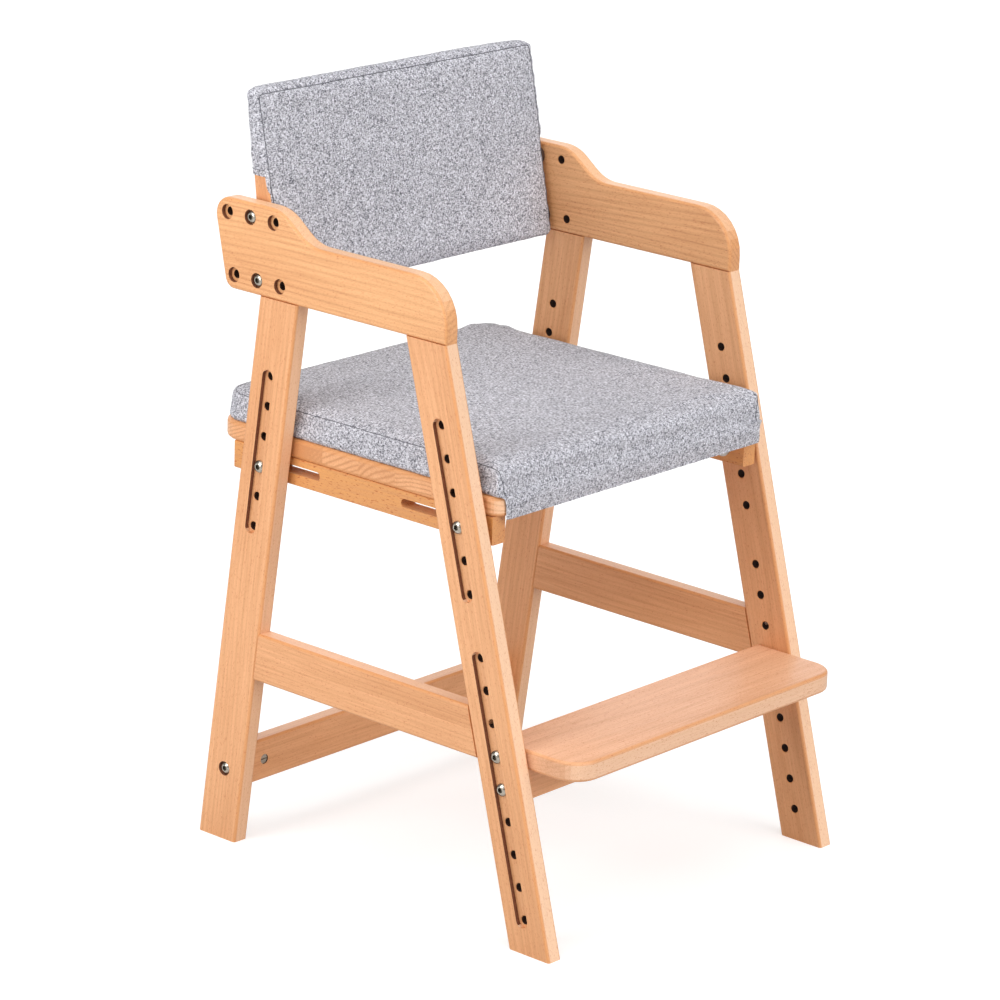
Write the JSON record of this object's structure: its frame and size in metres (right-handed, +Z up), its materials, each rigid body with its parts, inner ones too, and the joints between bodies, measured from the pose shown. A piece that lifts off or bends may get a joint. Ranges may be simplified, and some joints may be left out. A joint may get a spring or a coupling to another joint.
{
  "type": "baby high chair",
  "caption": "Beech baby high chair with A-shaped side frames, a height-adjustable seat and footrest, and a grey padded seat and back.",
  "frame": {"origin": "on the floor, under the middle of the chair's overall width and depth", "axes": "+Z up, -Y to the front where the child faces, +X to the sitter's left"},
  "size_m": [0.44, 0.488, 0.771],
  "materials": {
    "beech": "satin clear lacquer",
    "beech_pale": "plain",
    "steel": "nickel plated",
    "nylon": "matte",
    "grey_fabric": "heather knit",
    "foam": "open-cell foam"
  },
  "bodies": {
    "frame": {"right_armrest": "beech", "left_armrest": "beech", "right_rear_leg": "beech", "left_rear_leg": "beech", "right_front_leg": "beech", "left_front_leg": "beech", "right_side_rail": "beech", "left_side_rail": "beech", "rear_crossbar": "beech", "frame_dowels": "beech_pale", "crossbar_bolts": "steel", "crossbar_barrel_nuts": "steel", "seat_bolts": "steel", "seat_washers": "steel", "seat_nuts": "steel", "seat_spacers": "nylon", "right_back_post": "beech", "left_back_post": "beech", "back_panel": "beech_pale", "back_foam": "foam", "back_cover": "grey_fabric", "back_screws": "steel", "back_bolts": "steel", "back_inserts": "steel", "back_spacers": "nylon"},
    "seat": {"seat_board": "beech", "right_seat_rail": "beech", "left_seat_rail": "beech", "seat_screws": "steel", "seat_foam": "foam", "seat_cover": "grey_fabric"},
    "footrest": {"footrest_board": "beech", "footrest_rail": "beech", "footrest_dowels": "beech_pale", "footrest_bolts": "steel", "footrest_barrel_nuts": "steel"}
  },
  "joints": [
    {"name": "seat_slide", "type": "slide", "parent": "frame", "child": "seat", "axis": [0, 1, 0], "range_m": [-0.032, 0.0075]},
    {"name": "footrest_height", "type": "slide", "parent": "frame", "child": "footrest", "axis": [0, 0.2622, 0.965], "range_m": [-0.09606, 0.09606]}
  ]
}
